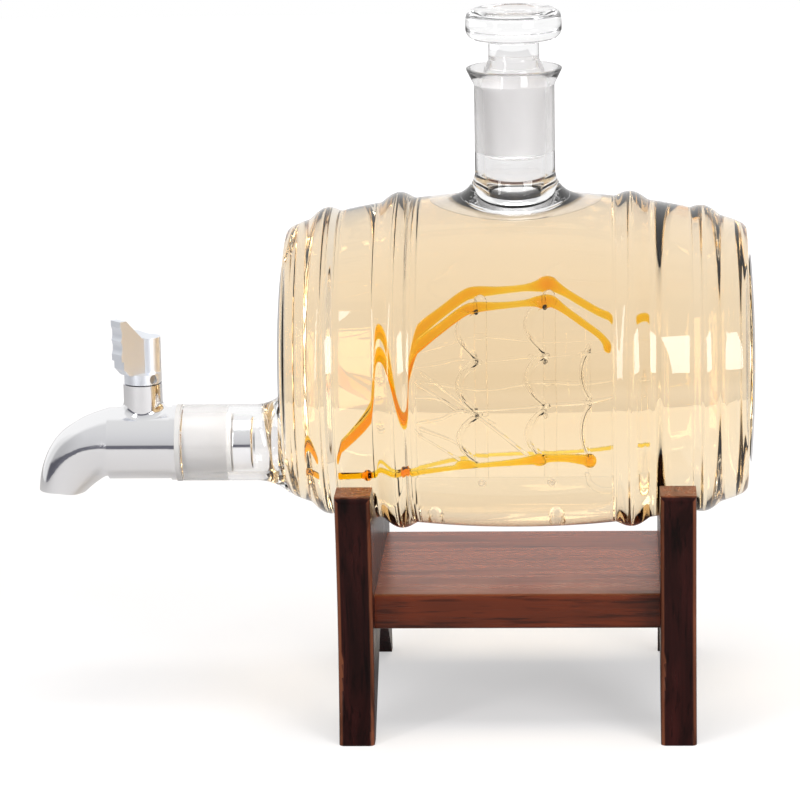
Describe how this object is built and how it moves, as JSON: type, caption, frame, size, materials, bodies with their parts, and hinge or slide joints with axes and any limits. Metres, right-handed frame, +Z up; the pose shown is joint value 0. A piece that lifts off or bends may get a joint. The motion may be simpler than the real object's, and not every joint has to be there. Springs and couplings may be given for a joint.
{
  "type": "barrel decanter",
  "caption": "Blown glass barrel lying in a wooden cradle, with a stoppered neck, a chrome tap at one end and a lampworked glass sailing ship fused inside.",
  "frame": {"origin": "on the table, under the middle of the whole piece's own box", "axes": "+X along the barrel, away from the tap; +Y to the back; +Z up along the neck"},
  "size_m": [0.2337, 0.1098, 0.2305],
  "materials": {
    "wood": "dark red-brown stain under a satin lacquer",
    "steel": "plain steel",
    "clear_glass": "fire polished clear glass, ground where it seals",
    "amber_glass": "fire polished amber glass",
    "silicone": "matt translucent grey silicone",
    "chrome": "polished chrome"
  },
  "bodies": {
    "stand": {"end_board_left": "wood", "end_board_right": "wood", "shelf_board": "wood", "stand_screws": "steel"},
    "barrel": {"barrel_shell": "clear_glass", "hoop_outer_left": "clear_glass", "hoop_inner_left": "clear_glass", "hoop_inner_right": "clear_glass", "hoop_outer_right": "clear_glass", "neck": "clear_glass", "tap_socket": "clear_glass", "ship_hull": "clear_glass", "ship_rails": "amber_glass", "ship_masts": "clear_glass", "ship_sails_fore": "clear_glass", "ship_sails_main": "clear_glass", "ship_sails_mizzen": "clear_glass", "ship_strands": "amber_glass", "ship_posts": "clear_glass", "ship_lines": "clear_glass", "ship_struts": "clear_glass"},
    "stopper": {"stopper": "clear_glass"},
    "tap_seal": {"sealing_sleeve": "silicone", "flange_gasket": "silicone"},
    "tap": {"tap_body": "chrome", "tail_nut": "chrome", "gland_bush": "chrome"},
    "valve": {"valve_plug": "chrome", "seal_rings": "silicone", "valve_key": "chrome", "key_grub_screw": "steel"}
  },
  "joints": [
    {"name": "barrel_lift", "type": "slide", "parent": "stand", "child": "barrel", "axis": [0, 0, 1], "range_m": [0, 0.06]},
    {"name": "stopper_lift", "type": "slide", "parent": "barrel", "child": "stopper", "axis": [0, 0, 1], "range_m": [0, 0.04]},
    {"name": "tap_pull", "type": "slide", "parent": "barrel", "child": "tap_seal", "axis": [-1, 0, 0], "range_m": [0, 0.03]},
    {"name": "tap_turn", "type": "hinge", "parent": "tap_seal", "child": "tap", "pos_m": [-0.07335, 0, 0.0874], "axis": [-1, 0, 0], "continuous": true},
    {"name": "valve_turn", "type": "hinge", "parent": "tap", "child": "valve", "pos_m": [-0.08435, 0, 0.0874], "axis": [0, 0, 1], "range_deg": [0, 90]}
  ]
}
